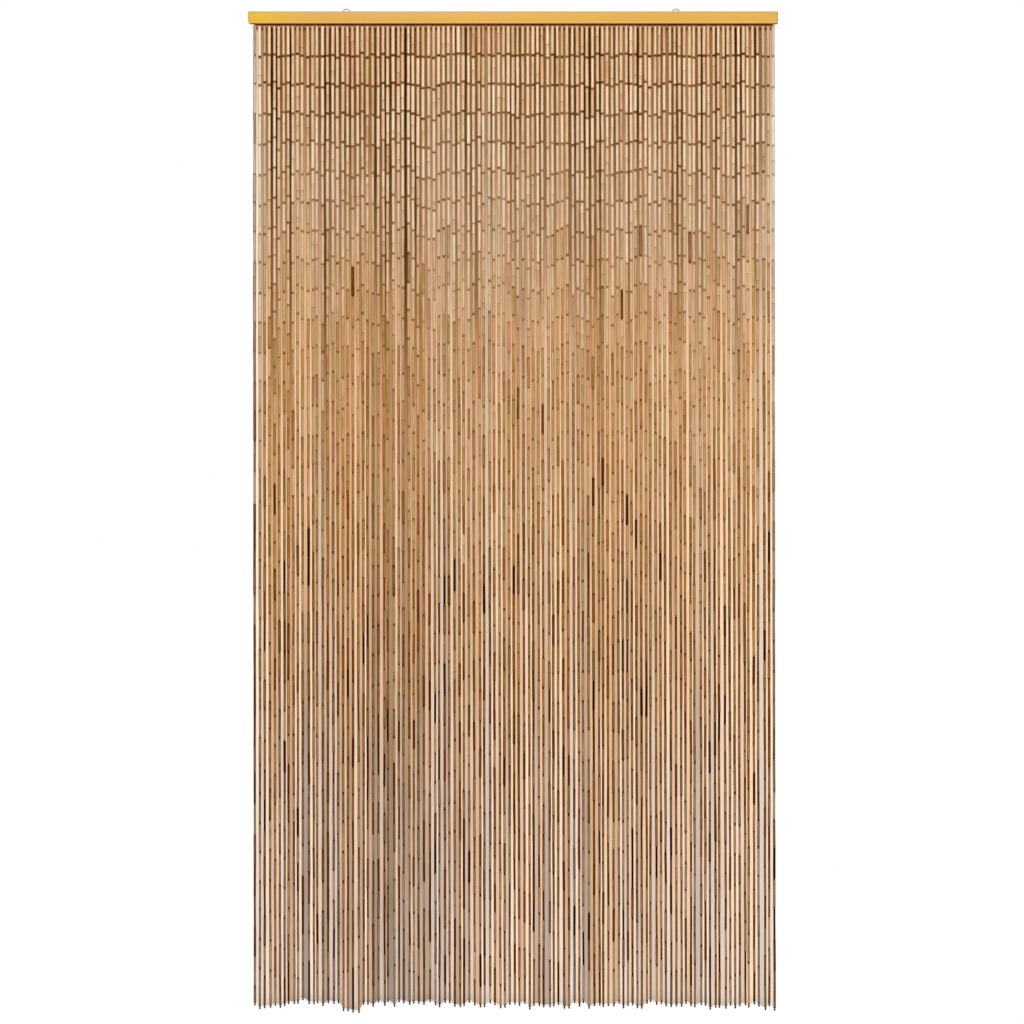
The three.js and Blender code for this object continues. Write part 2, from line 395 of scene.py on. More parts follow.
char_tint = add(tree, "ShaderNodeValToRGB", {"Fac": char.outputs["Fac"]}, stops=[
    (0.0, "#ffffff"), (0.3, "#d9ccb8"), (0.55, "#b8a489"), (0.8, "#90745a"), (1.0, "#6a431f")])
charred = add(tree, "ShaderNodeMix", {
    "Factor": 1.0, MIX_A: dulled.outputs["Color"], MIX_B: char_tint.outputs["Color"]},
    data_type="RGBA", blend_type="MULTIPLY")
skin_relief = add(tree, "ShaderNodeBump", {
    "Height": streak.outputs["Fac"], "Strength": 0.25, "Distance": 0.15 * MM})
skin_gloss = add(tree, "ShaderNodeMapRange", {
    "Value": blotch.outputs["Fac"], "To Min": 0.5, "To Max": 0.7})
skin_shader = add(tree, "ShaderNodeBsdfPrincipled", {
    "Base Color": charred.outputs[MIXED], "Roughness": skin_gloss.outputs[0],
    "Normal": skin_relief.outputs[0], "IOR": 1.5, "Specular IOR Level": 0.06})
add(tree, "ShaderNodeOutputMaterial", {"Surface": skin_shader.outputs[0]})

# How wide a strand is at its head and its foot, and how a tube differs from that: its width
# as a share, and by how much it tapers.
HEAD_WIDTH = 7.6 * MM
FOOT_WIDTH = 5.0 * MM
TUBE_WIDTHS = (0.87, 1.11)
TUBE_TAPER = 0.05
TUBE_SIDES = 10
# Where the tubes meet: how far below the rail the first one starts and how much longer it is,
# how far apart the joints are and how that differs by strand and by tube, the most that is left
# to the last tube, the slit between two tubes, and how far a joint lies off the strand's line.
FIRST_TUBE_DROP = 2.1 * MM
FIRST_TUBE_EXTRA = 3 * MM
TUBE_PITCH = 66.3 * MM
TUBE_SLIP = 1.5 * MM
TUBE_UNEVENNESS = 4.6 * MM
LAST_TUBE_LIMIT = 1.5 * TUBE_PITCH
TUBE_GAP = 0.4 * MM
JOINT_JITTER = 0.35 * MM
# Rows of a tube's open end, by how far in from the end, and of the ridge at a node, by how far
# up from its middle: that in mm, the share of the tube's radius, and how dark the row is. A
# tube with no node has a slight waist instead.
END_ROWS = [(3, 0.42, 1.0), (0, 0.42, 1.0), (0, 0.86, 1.0), (1.4, 1.0, 1.0), (4, 1.0, 0.0)]
NODE_ROWS = [(1.4, 0.99, 0.0), (0.4, 1.08, 0.2), (-0.4, 1.06, 0.5), (-1.4, 0.99, 0.1)]
WAIST = 0.98
# How many tubes keep a node, and where along the tube it lies.
NODE_SHARE = 0.18
NODE_PLACES = (0.25, 0.75)
# Down a strand, by the share of its drop: how dark the tubes are, partly painted shade for light that
# falls off down the curtain, how much they differ, how many are much darker, how rich their colour is, how
# scorched their ends are, how much that differs, and how much of the painted flank shade they take.
TONE_AND_SHADE_DOWN = [
    (0, 0.2), (0.04, 0.17), (0.1, 0.19), (0.2, 0.26), (0.33, 0.42),
    (0.45, 0.5), (0.6, 0.57), (0.7, 0.6), (1, 0.61),
]
SPREAD_DOWN = [(0, 0.06), (0.15, 0.05), (0.4, 0.06), (0.6, 0.08), (1, 0.085)]
DARK_SHARE_DOWN = [(0, 0), (0.35, 0.01), (0.6, 0.05), (1, 0.06)]
RICHNESS_DOWN = [
    (0, 1), (0.05, 0.98), (0.1, 0.9), (0.18, 0.86),
    (0.3, 1), (0.65, 1), (0.8, 0.82), (1, 0.68),
]
SCORCH_DOWN = [
    (0, 0.82), (0.04, 0.8), (0.1, 0.6), (0.2, 0.47),
    (0.3, 0.42), (0.45, 0.5), (0.6, 0.78), (1, 0.92),
]
SCORCH_SPREAD_DOWN = [(0, 0.25), (0.2, 0.6), (1, 0.5)]
FLANK_SHADE_DOWN = [(0, 1), (0.2, 0.8), (0.3, 0.4), (0.45, 0.4), (0.7, 0.9), (1, 1)]
# How much a whole strand may differ in tone, and how much darker the much darker tubes are.
STRAND_TONE = 0.05
DARKER = (0.2, 0.4)
# The outer strands at the head: how much darker they are, or lighter where it is below 0, how
# much paler in colour, and how much less scorched they are for each part that they are paler.
ROOT_TONES = {0: 0.2, 1: -0.14, STRAND_COUNT - 1: -0.06}
ROOT_PALER = {0: 0.35, STRAND_COUNT - 1: 0.3}
PALER_SCORCH = 1.5
# Dark tubes and burnt ends are richer: the tone where that starts, the tones it takes to come
# in fully, and how rich the tube or the end then is.
RICHER_FROM = 0.62
RICHER_OVER = 0.25
DARK_RICHNESS = 1.3
BURNT_RICHNESS = 1.1


def joint_heights(foot, dice):
    """Heights of a strand's joints, from the rail down to its knot."""
    heights = [rail_low.z - FIRST_TUBE_DROP]
    end = foot + KNOT_HEIGHT
    pitch = TUBE_PITCH + dice.uniform(-1, 1) * TUBE_SLIP
    extra = FIRST_TUBE_EXTRA
    while heights[-1] - end > LAST_TUBE_LIMIT:
        heights.append(heights[-1] - pitch - extra - dice.uniform(-1, 1) * TUBE_UNEVENNESS)
        extra = 0
    heights.append(end)
    return heights


def tube_rows(top, bottom, scorch, node_at):
    """Rows of a tube from its upper bore to its lower: height, share of radius, how dark."""
    upper = [(top - inward * MM, part, scorch * dark) for inward, part, dark in END_ROWS]
    lower = [(top + bottom - z, part, dark) for z, part, dark in reversed(upper)]
    middle = [((top + bottom) / 2, WAIST, 0.0)]
    if node_at is not None:
        middle = [(node_at + up * MM, part, dark) for up, part, dark in NODE_ROWS]
    return upper + middle + lower


def give_points(mesh, shades):
    """Stores lists of one number for each point of a mesh, for its material to read by name."""
    for name, values in shades.items():
        mesh.attributes.new(name, "FLOAT", "POINT").data.foreach_set("value", values)


strand_joints = []
# How far each side of a tube faces left or right: its share of the painted flank shade.
flank_shade_sides = [math.cos(math.tau * i / TUBE_SIDES) ** 2 for i in range(TUBE_SIDES)]
for first in range(0, STRAND_COUNT, STRANDS_PER_PIECE):
    verts, faces = [], []
    shades = {"tone": [], "warmth": [], "char": [], "painted_flank_shade": [], "richness": []}
    for strand in range(first, min(first + STRANDS_PER_PIECE, STRAND_COUNT)):
        dice = random.Random(strand)
        foot = strand_foot(strand)
        strand_tone = dice.uniform(-STRAND_TONE, STRAND_TONE)
        root_tone = ROOT_TONES.get(strand, 0)
        joints = []
        for height in joint_heights(foot, dice):
            share = max((strand_top - height) / (strand_top - foot), 0)
            x, y = strand_middle(strand, share)
            aside, forward = dice.uniform(-1, 1) * JOINT_JITTER, dice.uniform(-1, 1) * JOINT_JITTER
            joints.append((x + aside, y + forward, height, share))
        strand_joints.append(joints)
        for (x0, y0, z0, share), (x1, y1, z1, _) in zip(joints, joints[1:]):
            top = z0 - TUBE_GAP / 2
            bottom = z1 + TUBE_GAP / 2
            width = HEAD_WIDTH + (FOOT_WIDTH - HEAD_WIDTH) * share
            radius = width / 2 * dice.uniform(*TUBE_WIDTHS)
            taper = dice.uniform(-TUBE_TAPER, TUBE_TAPER)
            node_at = bottom + (top - bottom) * dice.uniform(*NODE_PLACES)
            if dice.random() > NODE_SHARE:
                node_at = None
            # The tone deepens down the strand, partly as painted shade.
            tone_here = between(TONE_AND_SHADE_DOWN, share) + strand_tone + root_tone * (1 - share)
            tone_here += dice.gauss(0, between(SPREAD_DOWN, share))
            if dice.random() < between(DARK_SHARE_DOWN, share):
                tone_here += dice.uniform(*DARKER)
            tone_here = clamped(tone_here)
            paler = ROOT_PALER.get(strand, 0) * (1 - share)
            richness_here = between(RICHNESS_DOWN, share) - paler
            richer = clamped((tone_here - RICHER_FROM) / RICHER_OVER)
            richness_here += (DARK_RICHNESS - richness_here) * richer
            scorch = between(SCORCH_DOWN, share) * (1 - PALER_SCORCH * paler)
            scorch_spread = between(SCORCH_SPREAD_DOWN, share) * dice.uniform(-1, 1)
            scorch = clamped(scorch * (1 + scorch_spread))
            flank_shade_here = between(FLANK_SHADE_DOWN, share)
            rings = []
            for z, part, dark in reversed(tube_rows(top, bottom, scorch, node_at)):
                down = (top - z) / (top - bottom)
                ring_radius = radius * part * (1 + taper * (0.5 - down))
                x, y = x0 + (x1 - x0) * down, y0 + (y1 - y0) * down
                rings.append(disc(x, y, z, ring_radius, TUBE_SIDES))
                richness_row = richness_here + (BURNT_RICHNESS - richness_here) * dark
                shades["char"] += [dark] * TUBE_SIDES
                # Painted shade on the flanks, where neighbouring tubes would keep light off them.
                shades["painted_flank_shade"] += [flank_shade_here * side for side in flank_shade_sides]
                shades["richness"] += [richness_row] * TUBE_SIDES
            skin(verts, faces, rings)
            shades["tone"] += [tone_here] * len(rings) * TUBE_SIDES
            shades["warmth"] += [dice.random()] * len(rings) * TUBE_SIDES
    tubes = make_piece(f"bamboo_tubes_{first // STRANDS_PER_PIECE + 1}", verts, faces, bamboo_skin,
                       "strand_row", smooth_angle=50)
    give_points(tubes.data, shades)

# Cords
# Waxed cotton twine down the bores of each strand, with a hitch under each tube that carries
# it, and a hard knot below the last one. The wax makes it dark brown with a dull gleam.
CORD_RADIUS = 0.7 * MM
HITCH_RADIUS = 1.7 * MM
CORD_SIDES = 6
KNOT_RADIUS = 2.3 * MM
KNOT_SIDES = 9
# Up a knot: the share of its height, and the share of its radius.
KNOT_ROWS = [(0.0, 0.35), (0.14, 0.78), (0.45, 1.0), (0.8, 0.7), (1.0, 0.35)]
# A wave texture runs through 20 radians in a unit, so at this scale a band is one pitch wide.
TWIST_PITCH = 1.2 * MM
TWIST_SCALE = math.tau / 20 / TWIST_PITCH

waxed_twine, tree = new_material("waxed_cotton_twine")
place = add(tree, "ShaderNodeTexCoord")
twist = add(tree, "ShaderNodeTexWave", {
    "Vector": place.outputs["Object"], "Scale": TWIST_SCALE, "Distortion": 1.5}, bands_direction="Z")
twine_colour = add(tree, "ShaderNodeValToRGB", {"Fac": twist.outputs["Fac"]}, stops=[
    (0.0, "#4a2204"), (1.0, "#6b3a0e")])
twine_relief = add(tree, "ShaderNodeBump", {
    "Height": twist.outputs["Fac"], "Strength": 0.4, "Distance": 0.2 * MM})
twine = add(tree, "ShaderNodeBsdfPrincipled", {
    "Base Color": twine_colour.outputs["Color"], "Roughness": 0.8,
    "Normal": twine_relief.outputs[0], "Specular IOR Level": 0.05})
add(tree, "ShaderNodeOutputMaterial", {"Surface": twine.outputs[0]})

cord_verts, cord_faces = [], []
knot_verts, knot_faces = [], []
for strand, joints in enumerate(strand_joints):
    rings = []
    for x, y, z, _ in reversed(joints):
        rings.append(disc(x, y, z - TUBE_GAP / 2, CORD_RADIUS, CORD_SIDES))
        rings.append(disc(x, y, z, HITCH_RADIUS, CORD_SIDES))
        rings.append(disc(x, y, z + TUBE_GAP / 2, CORD_RADIUS, CORD_SIDES))
    rings.append(disc(*joints[0][:2], rail_low.z, CORD_RADIUS, CORD_SIDES))
    skin(cord_verts, cord_faces, rings)
    x, y, _, _ = joints[-1]
    foot = strand_foot(strand)
    rings = []
    for rise, part in KNOT_ROWS:
        rings.append(disc(x, y, foot + KNOT_HEIGHT * rise, KNOT_RADIUS * part, KNOT_SIDES))
    skin(knot_verts, knot_faces, rings)
make_piece("strand_cords", cord_verts, cord_faces, waxed_twine, "strand_row")
make_piece("end_knots", knot_verts, knot_faces, waxed_twine, "strand_row")

# Heading
# A thin nylon thread runs across through the top tube of each strand, and its ends stick out a
# little. Short blocks of split bamboo on it, one between each two strands, keep them apart.
BLOCK_TOP_DROP = 2.9 * MM
BLOCK_HEIGHT = 6 * MM
BLOCK_DEPTH = 5 * MM
BLOCK_EDGE = 0.7 * MM
BLOCK_EDGE_STEPS = 3
# How far a block's ends reach in past the sides of the tubes that it keeps apart.
BLOCK_REACH = 1.0 * MM
THREAD_DROP = 7.7 * MM
THREAD_RADIUS = 0.45 * MM
THREAD_END_INSET = 1.5 * MM

# Split bamboo, left bare: a dull brown with a fine lengthwise grain. Its fibres are drawn in
# bundles, coarser than they are, so that they show.
BUNDLE_WIDTH = 1.1 * MM
BUNDLE_LENGTH = 17 * MM

split_bamboo, tree = new_material("split_bamboo_block")
place = add(tree, "ShaderNodeTexCoord")
fibre_scale = add(tree, "ShaderNodeMapping", {
    "Vector": place.outputs["Object"],
    "Scale": (1 / BUNDLE_WIDTH, 1 / BUNDLE_WIDTH, 1 / BUNDLE_LENGTH)})
fibre = add(tree, "ShaderNodeTexNoise", {
    "Vector": fibre_scale.outputs[0], "Scale": 1.0, "Detail": 4.0})
fibre_colour = add(tree, "ShaderNodeValToRGB", {"Fac": fibre.outputs["Fac"]}, stops=[
    (0.3, "#6e4416"), (0.7, "#98663a")])
fibre_relief = add(tree, "ShaderNodeBump", {
    "Height": fibre.outputs["Fac"], "Strength": 0.3, "Distance": 0.2 * MM})
block_shader = add(tree, "ShaderNodeBsdfPrincipled", {
    "Base Color": fibre_colour.outputs["Color"], "Roughness": 0.62, "Normal": fibre_relief.outputs[0]})
add(tree, "ShaderNodeOutputMaterial", {"Surface": block_shader.outputs[0]})

verts, faces = [], []
block_top = rail_low.z - BLOCK_TOP_DROP
outline = rounded_rectangle(
    (row_middle_y - BLOCK_DEPTH / 2, block_top - BLOCK_HEIGHT),
    (row_middle_y + BLOCK_DEPTH / 2, block_top),
    BLOCK_EDGE, BLOCK_EDGE_STEPS)
heads = [joints[0][0] for joints in strand_joints]
tube_side = HEAD_WIDTH / 2 - BLOCK_REACH
for left, right in zip(heads, heads[1:]):
    skin(verts, faces, [[(x, y, z) for y, z in outline] for x in (left + tube_side, right - tube_side)])
make_piece("spacing_blocks", verts, faces, split_bamboo, "strand_row")

# Nylon monofilament, drawn smooth: milky and faintly grey, with a soft gleam.
HAZE_WIDTH = 3.3 * MM

nylon_thread, tree = new_material("nylon_monofilament")
place = add(tree, "ShaderNodeTexCoord")
haze = add(tree, "ShaderNodeTexNoise", {
    "Vector": place.outputs["Object"], "Scale": 1 / HAZE_WIDTH, "Detail": 2.0})
haze_colour = add(tree, "ShaderNodeValToRGB", {"Fac": haze.outputs["Fac"]}, stops=[
    (0.3, "#c9c5bd"), (0.7, "#dedbd4")])
nylon = add(tree, "ShaderNodeBsdfPrincipled", {
    "Base Color": haze_colour.outputs["Color"], "Roughness": 0.3, "IOR": 1.53})
add(tree, "ShaderNodeOutputMaterial", {"Surface": nylon.outputs[0]})

verts, faces, rings = [], [], []
thread_z = rail_low.z - THREAD_DROP
for x in (rail_low.x + THREAD_END_INSET, heads[0], heads[-1], rail_high.x - THREAD_END_INSET):
    ring = disc(row_middle_y, thread_z, 0, THREAD_RADIUS, CORD_SIDES)
    rings.append([(x, y, z) for y, z, _ in ring])
skin(verts, faces, rings)
make_piece("spacing_thread", verts, faces, nylon_thread)

# Rings and straps
# Two rings of round steel wire, each held by a steel strap folded round its lower side. The
# strap's long leaf lies on the back of the rail, under a round-head slotted screw.
RING_RADIUS = 8.1 * MM
RING_TURNS = 72
WIRE_RADIUS = 1.4 * MM
WIRE_SIDES = 16
STRAP_SHEET = 1 * MM
STRAP_LEAF = 17 * MM
STRAP_LIP = 5 * MM
STRAP_EDGE = 0.25 * MM
STRAP_EDGE_STEPS = 2
STRAP_FOLD_STEPS = 14
LEAF_CORNER = 2 * MM
LIP_CORNER = 1.5 * MM
# How far up from its end the sections of the leaf and of the lip lie, in the strap's order.
LEAF_STATIONS = [0, 0.15 * MM, 0.5 * MM, 1 * MM, 1.5 * MM, 2 * MM, STRAP_LEAF]
LIP_STATIONS = [1.5 * MM, 1 * MM, 0.5 * MM, 0.15 * MM, 0]
SCREW_UP = 5 * MM
SCREW_RADIUS = 2.4 * MM
SCREW_SLOT = 0.8 * MM
SCREW_SIDES = 32
# Out from the strap, the screw's rim and its two half domes beside the slot: how far in mm, and
# the share of the screw's radius.
SCREW_RIM_ROWS = [(0.0, 1.0), (0.6, 1.0), (0.8, 0.97)]
SCREW_DOME_ROWS = [(0.8, 0.97), (1.15, 0.82), (1.4, 0.6), (1.55, 0.3)]

# Steel with bright zinc plate, a little dulled: pale grey, satin, with a faint cloudy haze.
CLOUD_WIDTH = 2.5 * MM

zinc_plate, tree = new_material("zinc_plated_steel")
place = add(tree, "ShaderNodeTexCoord")
cloud = add(tree, "ShaderNodeTexNoise", {
    "Vector": place.outputs["Object"], "Scale": 1 / CLOUD_WIDTH, "Detail": 3.0})
cloud_colour = add(tree, "ShaderNodeValToRGB", {"Fac": cloud.outputs["Fac"]}, stops=[
    (0.3, "#a9a49e"), (0.7, "#c8c3bc")])
cloud_gloss = add(tree, "ShaderNodeMapRange", {
    "Value": cloud.outputs["Fac"], "To Min": 0.42, "To Max": 0.6})
zinc = add(tree, "ShaderNodeBsdfPrincipled", {
    "Base Color": cloud_colour.outputs["Color"], "Metallic": 1.0, "Roughness": cloud_gloss.outputs[0]})
add(tree, "ShaderNodeOutputMaterial", {"Surface": zinc.outputs[0]})

screw_verts, screw_faces = [], []
for side in ("left", "right"):
    ring_low, ring_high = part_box(f"ring_{side}")
    strap_low, strap_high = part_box(f"strap_{side}")
    centre = (ring_low + ring_high) / 2

    rings = []
    for turn in range(RING_TURNS):
        along = math.tau * turn / RING_TURNS
        rings.append([])
        for part in range(WIRE_SIDES):
            round_wire = math.tau * part / WIRE_SIDES
            reach = RING_RADIUS + WIRE_RADIUS * math.cos(round_wire)
            rings[-1].append((
                centre.x + reach * math.cos(along),
                centre.y - WIRE_RADIUS * math.sin(round_wire),
                centre.z + reach * math.sin(along)))
    verts, faces = [], []
    skin(verts, faces, rings, closed=True)
    make_piece(f"wire_ring_{side}", verts, faces, zinc_plate, f"ring_{side}")

    fold_radius = (strap_high.y - strap_low.y - STRAP_SHEET) / 2
    fold_z = strap_low.z + STRAP_LEAF
    half_width = (strap_high.x - strap_low.x) / 2
    # The strap's middle line from leaf to lip: y, z, its heading in degrees, half its width.
    path = []
    for up in LEAF_STATIONS:
        narrower = drawn_back(LEAF_CORNER, up)
        path.append((centre.y - fold_radius, strap_low.z + up, 90, half_width - narrower))
    for step in range(1, STRAP_FOLD_STEPS + 1):
        angle = 180 - 180 * step / STRAP_FOLD_STEPS
        y = centre.y + fold_radius * math.cos(math.radians(angle))
        path.append((y, fold_z + fold_radius * math.sin(math.radians(angle)), angle - 90, half_width))
    for up in LIP_STATIONS:
        narrower = drawn_back(LIP_CORNER, up)
        path.append((centre.y + fold_radius, fold_z - STRAP_LIP + up, -90, half_width - narrower))
    rings = []
    for y, z, heading, half in path:
        out_y, out_z = -math.sin(math.radians(heading)), math.cos(math.radians(heading))
        outline = rounded_rectangle(
            (-half, -STRAP_SHEET / 2), (half, STRAP_SHEET / 2), STRAP_EDGE, STRAP_EDGE_STEPS)
        rings.append([(centre.x + across, y + out_y * off, z + out_z * off) for across, off in outline])
    verts, faces = [], []
    skin(verts, faces, rings)
    make_piece(f"folded_strap_{side}", verts, faces, zinc_plate, f"strap_{side}")

    seat_y = strap_low.y + STRAP_SHEET
    screw_z = strap_low.z + SCREW_UP
    rim_turns = [math.tau * i / SCREW_SIDES for i in range(SCREW_SIDES)]
    rings = []
    for out, part in SCREW_RIM_ROWS:
        radius = SCREW_RADIUS * part
        rings.append([(centre.x - radius * math.cos(turn), seat_y + out * MM,
                       screw_z + radius * math.sin(turn)) for turn in rim_turns])
    skin(screw_verts, screw_faces, rings)
    for half in (1, -1):
        rings = []
        for out, part in SCREW_DOME_ROWS:
            radius = SCREW_RADIUS * part
            reach = math.acos(SCREW_SLOT / 2 / radius)
            turns = [reach * (2 * i / SCREW_SIDES - 1) for i in range(SCREW_SIDES + 1)]
            rings.append([(centre.x - half * radius * math.sin(turn), seat_y + out * MM,
                           screw_z + half * radius * math.cos(turn)) for turn in turns])
        skin(screw_verts, screw_faces, rings)
make_piece("strap_screws", screw_verts, screw_faces, zinc_plate)

# Studio
# White surroundings, a soft key light from above, a weaker fill from the right and one from
# behind, and a camera square to the curtain with a long lens. The pale floor fades into the white.

# The photo: how many mm a pixel is at the rail's front, how many pixels wide and high it is, and
# where in it the rail's middle and top lie.
MM_PER_PIXEL = 2.264
IMAGE_SIDE = 1024
PHOTO_RAIL_CENTRE_X = 513
PHOTO_RAIL_TOP_Y = 11.3
# The lens and the sensor in mm, and how many metres the camera sees.
LENS = 125
SENSOR = 36
SIGHT = 100
# The floor, and the distances from its middle between which it fades out.
FLOOR_DROP = 0.25
FLOOR_RADIUS = 1.55
FLOOR_FADE = (0.35 * FLOOR_RADIUS, 0.98 * FLOOR_RADIUS)
FLOOR_SIDES = 96
# How strongly the surroundings light the curtain. The camera sees them fully white.
SURROUND_LIGHT = 0.32
# Each softbox: where it stands, what it faces, how wide it is, and its power in watts.
SOFTBOXES = {
    "key_softbox": ((-0.25, -2.9, 0.9), (0, 0, -0.9), 0.9, 70),
    "fill_softbox": ((1.2, -3.0, -1.1), (0, 0, -1.4), 1.6, 28),
    "back_softbox": ((-1.2, 2.8, 0.4), (0, 0, -1.0), 1.6, 24),
}

frame_width = IMAGE_SIDE * MM_PER_PIXEL * MM
camera_data = bpy.data.cameras.new("camera")
camera_data.lens = LENS
camera_data.sensor_width = SENSOR
camera_data.clip_end = SIGHT
camera = bpy.data.objects.new("camera", camera_data)
bpy.context.scene.collection.objects.link(camera)
camera.location = (
    (IMAGE_SIDE / 2 - PHOTO_RAIL_CENTRE_X) * MM_PER_PIXEL * MM,
    rail_low.y - frame_width * LENS / SENSOR,
    rail_high.z - (IMAGE_SIDE / 2 - PHOTO_RAIL_TOP_Y) * MM_PER_PIXEL * MM,
)
camera.rotation_euler = (math.radians(90), 0, 0)
bpy.context.scene.camera = camera
bpy.context.scene.view_settings.view_transform = "Standard"

# Matt emulsion paint on a flat floor: off-white, and it thins out to nothing towards its rim.
floor_paint, tree = new_material("pale_floor_paint")
place = add(tree, "ShaderNodeTexCoord")
from_middle = add(tree, "ShaderNodeVectorMath", {0: place.outputs["Object"]}, operation="LENGTH")
rim_fade = add(tree, "ShaderNodeMapRange", {
    "Value": from_middle.outputs["Value"], "From Min": FLOOR_FADE[0], "From Max": FLOOR_FADE[1]},
    interpolation_type="SMOOTHSTEP")
floor_shader = add(tree, "ShaderNodeBsdfPrincipled", {"Base Color": linear("#f4f3f1"), "Roughness": 0.8})
floor_clear = add(tree, "ShaderNodeBsdfTransparent")
floor_mix = add(tree, "ShaderNodeMixShader", {
    0: rim_fade.outputs[0], 1: floor_shader.outputs[0], 2: floor_clear.outputs[0]})
add(tree, "ShaderNodeOutputMaterial", {"Surface": floor_mix.outputs[0]})
floor_mesh = bpy.data.meshes.new("floor")
floor_mesh.from_pydata(disc(0, 0, 0, FLOOR_RADIUS, FLOOR_SIDES), [], [tuple(range(FLOOR_SIDES))])
floor_mesh.materials.append(floor_paint)
floor = bpy.data.objects.new("floor", floor_mesh)
floor.location = (0, row_middle_y, row_low.z - FLOOR_DROP)
bpy.context.scene.collection.objects.link(floor)

world = bpy.data.worlds.new("studio")
bpy.context.scene.world = world
world.use_nodes = True
tree = world.node_tree
tree.nodes.clear()
ray = add(tree, "ShaderNodeLightPath")
soft_fill = add(tree, "ShaderNodeBackground", {
    "Color": linear("#ffffff"), "Strength": SURROUND_LIGHT})
white_surround = add(tree, "ShaderNodeBackground", {"Color": linear("#ffffff"), "Strength": 1.0})
seen = add(tree, "ShaderNodeMixShader", {
    0: ray.outputs["Is Camera Ray"], 1: soft_fill.outputs[0], 2: white_surround.outputs[0]})
add(tree, "ShaderNodeOutputWorld", {"Surface": seen.outputs[0]})

for name, (spot, aim, size, watts) in SOFTBOXES.items():
    lamp = bpy.data.lights.new(name, "AREA")
    lamp.size = size
    lamp.energy = watts
    light = bpy.data.objects.new(name, lamp)
    light.location = spot
    light.rotation_euler = (Vector(aim) - Vector(spot)).to_track_quat("-Z", "Y").to_euler()
    bpy.context.scene.collection.objects.link(light)

# Shade card
# A card close behind the strands for what shows between them, its colours painted light and shade of what
# lies behind: dark brown at the top, peach and cream further down, darker and greyer where a gap is wide,
# and pale in the outermost gaps. It glows with these colours, lights nothing and has no back.
CARD_BEHIND = 6 * MM
CARD_TOP_RISE = 5 * MM
CARD_FOOT_RISE = 2 * MM
CARD_FADE = 6 * MM
CARD_ROWS = 40
# Down the curtain, by the share of its drop: how light the gaps are, with painted shade deepest at the
# top, and how much they differ.
LIGHT_DOWN = [
    (0, 0.5), (0.08, 0.5), (0.14, 0.58), (0.18, 0.63),
    (0.26, 0.66), (0.34, 0.8), (0.42, 0.85), (1, 0.87),
]
LIGHT_SPREAD_DOWN = [
    (0, 0.5), (0.1, 0.5), (0.18, 0.42), (0.26, 0.42),
    (0.34, 0.32), (0.42, 0.2), (1, 0.18),
]
# Across the curtain, in mm: how much lighter the gaps are below the heads, painted light that differs from
# side to side, how much warmer they are towards the foot, or cooler where it is below 0, and over which
# shares of the drop both come in.
LIGHTER_ACROSS = [(-590, 0.05), (-400, -0.12), (-150, -0.06), (100, 0), (400, 0.06), (590, 0.25)]
WARMER_ACROSS = [(-590, -0.2), (-480, -0.4), (-280, -0.4), (-100, 0.1), (100, 0), (590, 0)]
LIGHTER_OVER = 0.12
WARMER_FROM = 0.4
WARMER_OVER = 0.4
# The outermost gaps, and how far each takes on their own pale colour.
OUTER_GAPS = {
    0: 1.0, 1: 0.38, STRAND_COUNT - 4: 0.1, STRAND_COUNT - 3: 0.28, STRAND_COUNT - 2: 0.65,
}
# How much a gap's lightness and its cast, cool at 0 and warm at 1, change from row to row, and
# how far below 0 the cast may fall.
LIGHT_STEP = 0.14
CAST_STEP = 0.08
CAST_ROOM = 0.5
# How much darker and cooler a gap is at the foot for each WIDE_GAP that it is over the usual.
USUAL_PITCH = 11.2 * MM
WIDE_GAP = 4 * MM
WIDE_DARKER = 0.2
WIDE_COOLER = 0.5

# A card that glows with its own colours, painted shade among them: soft browns to cream, that run out to
# nothing at its foot.
glowing_card, tree = new_material("shade_card")
down = add(tree, "ShaderNodeAttribute", attribute_name="down")
light = add(tree, "ShaderNodeAttribute", attribute_name="light")
cast = add(tree, "ShaderNodeAttribute", attribute_name="cast")
outer = add(tree, "ShaderNodeAttribute", attribute_name="outer")
faded = add(tree, "ShaderNodeAttribute", attribute_name="faded")
# Down the card: dark brown just under the rail for the rail's painted shadow, then painted shade that
# lifts to cream.
down_colour = add(tree, "ShaderNodeValToRGB", {"Fac": down.outputs["Fac"]}, stops=[
    (0.0, "#5c3305"), (0.004, "#5c3305"), (0.006, "#a67e58"), (0.1, "#ac8a69"), (0.18, "#cdaa87"),
    (0.26, "#e8c29d"), (0.34, "#f6d0af"), (0.42, "#fad5b2"), (0.5, "#ffddbc"), (0.745, "#ffe4cb"),
    (0.99, "#fee8d5"), (1.0, "#e4d6c8")])
light_tint = add(tree, "ShaderNodeValToRGB", {"Fac": light.outputs["Fac"]}, stops=[
    (0.0, "#3c2606"), (0.25, "#866e48"), (0.5, "#bba88f"), (0.75, "#e6d8cc"), (1.0, "#ffffff")])
cast_tint = add(tree, "ShaderNodeValToRGB", {"Fac": cast.outputs["Fac"]}, stops=[
    (0.0, "#d4e7fe"), (0.333, "#eaf1f9"), (0.533, "#f7f7f6"), (0.733, "#fffbf5"), (1.0, "#fff1d9")])
